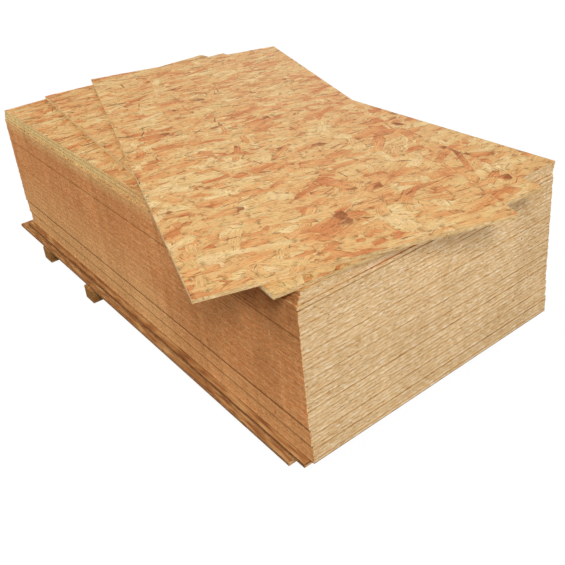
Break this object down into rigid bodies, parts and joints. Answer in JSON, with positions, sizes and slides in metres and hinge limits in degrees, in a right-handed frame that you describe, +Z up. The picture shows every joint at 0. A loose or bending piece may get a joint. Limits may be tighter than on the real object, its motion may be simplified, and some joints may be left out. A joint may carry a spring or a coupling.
{
  "type": "stack of osb panels",
  "caption": "Squared pile of oriented strand board panels on timber cross bearers, with the top sheets fanned round so that their corners overhang, ready for lifting by forks.",
  "frame": {"origin": "on the ground under the middle of the whole stack's box, fanned sheets included", "axes": "+X along the pile's length towards its front end, +Y across it, +Z up"},
  "size_m": [2.7624, 1.8324, 0.805],
  "materials": {
    "osb_panel": "pressed wood strands with a faint resin sheen, sawn edges",
    "osb_base_panel": "weathered strand board with browned, sawn edges",
    "bearer_timber": "rough-sawn softwood"
  },
  "bodies": {
    "root": {"base_panel_lower": "osb_base_panel", "base_panel_upper": "osb_base_panel", "bearer_1": "bearer_timber", "bearer_2": "bearer_timber", "bearer_3": "bearer_timber", "bearer_4": "bearer_timber", "fanned_panel_lower": "osb_panel", "fanned_panel_upper": "osb_panel", "panel_01": "osb_panel", "panel_02": "osb_panel", "panel_03": "osb_panel", "panel_04": "osb_panel", "panel_05": "osb_panel", "panel_06": "osb_panel", "panel_07": "osb_panel", "panel_08": "osb_panel", "panel_09": "osb_panel", "panel_10": "osb_panel", "panel_11": "osb_panel", "panel_12": "osb_panel", "panel_13": "osb_panel", "panel_14": "osb_panel", "panel_15": "osb_panel", "panel_16": "osb_panel", "panel_17": "osb_panel", "panel_18": "osb_panel", "panel_19": "osb_panel", "panel_20": "osb_panel", "panel_21": "osb_panel", "panel_22": "osb_panel", "panel_23": "osb_panel", "panel_24": "osb_panel", "panel_25": "osb_panel", "panel_26": "osb_panel", "panel_27": "osb_panel", "panel_28": "osb_panel", "panel_29": "osb_panel", "panel_30": "osb_panel", "panel_31": "osb_panel", "panel_32": "osb_panel", "panel_33": "osb_panel", "panel_34": "osb_panel", "panel_35": "osb_panel", "panel_36": "osb_panel", "panel_37": "osb_panel", "panel_38": "osb_panel", "panel_39": "osb_panel", "panel_40": "osb_panel", "panel_41": "osb_panel", "panel_42": "osb_panel", "pushed_panel_1": "osb_panel", "pushed_panel_2": "osb_panel", "pushed_panel_3": "osb_panel"}
  },
  "joints": []
}
